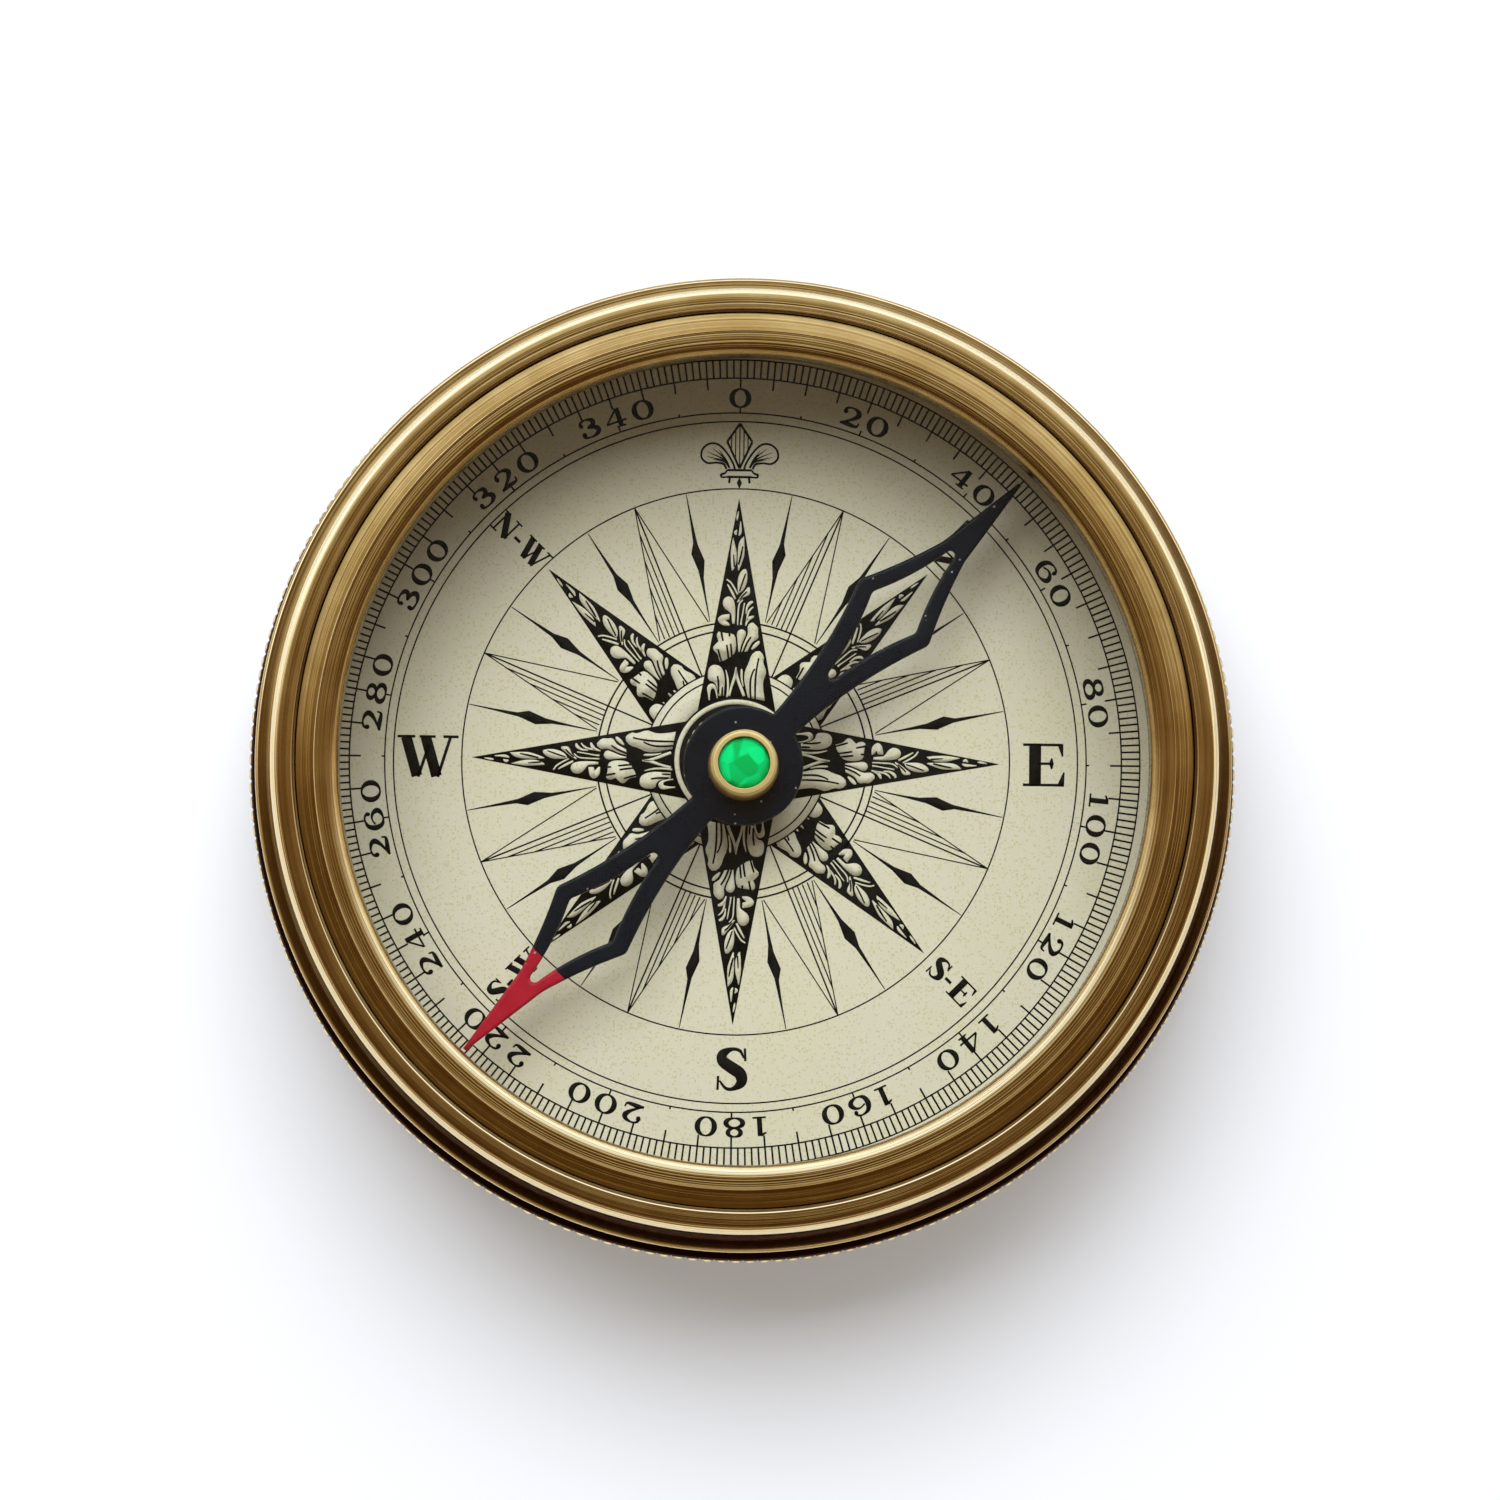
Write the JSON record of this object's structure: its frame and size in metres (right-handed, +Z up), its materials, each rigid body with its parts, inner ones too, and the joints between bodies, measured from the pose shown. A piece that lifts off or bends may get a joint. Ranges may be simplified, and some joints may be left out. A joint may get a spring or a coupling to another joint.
{
  "type": "pocket compass",
  "caption": "Round brass pocket compass with a knurled screw bezel, flat glass, printed degree dial and a slotted black needle that turns on a steel point.",
  "frame": {"origin": "centre of the foot, on the surface that the compass lies on", "axes": "+Z up through the pivot and the glass, +Y towards the north mark of the dial, +X towards east"},
  "size_m": [0.0762, 0.0762, 0.02],
  "materials": {
    "antique_brass": "turned, darkened and rubbed bright on the edges",
    "plain_brass": "turned, clean",
    "clear_glass": "flat, clear",
    "black_packing": "matt",
    "dial_paper": "cream card, printed in black",
    "pivot_steel": "hardened",
    "needle_paint": "black paint, one tip red",
    "green_jewel": "faceted"
  },
  "bodies": {
    "case": {"case_body": "antique_brass", "dial_plate": "plain_brass", "dial_card": "dial_paper", "dial_snap_ring": "plain_brass", "pivot_post": "plain_brass", "pivot_pin": "pivot_steel", "pivot_washer": "plain_brass", "pivot_nut": "plain_brass"},
    "glass_pack": {"crystal_glass": "clear_glass", "glass_gasket": "black_packing"},
    "bezel": {"bezel_ring": "antique_brass", "glass_retaining_ring": "antique_brass"},
    "needle": {"needle_blade": "needle_paint", "needle_cap": "plain_brass", "needle_collar": "plain_brass", "cap_jewel": "green_jewel"}
  },
  "joints": [
    {"name": "needle_spin", "type": "hinge", "parent": "case", "child": "needle", "pos_m": [0, 0, 0.0136], "axis": [0, 0, 1], "continuous": true},
    {"name": "bezel_rise", "type": "slide", "parent": "case", "child": "glass_pack", "axis": [0, 0, 1], "range_m": [0, 0.005]},
    {"name": "bezel_turn", "type": "hinge", "parent": "glass_pack", "child": "bezel", "pos_m": [0, 0, 0.0064], "axis": [0, 0, 1], "range_deg": [0, 1800]}
  ],
  "couplings": [
    {"joint": "bezel_rise", "follows": "bezel_turn", "m_per_rad": 0.00015915}
  ]
}
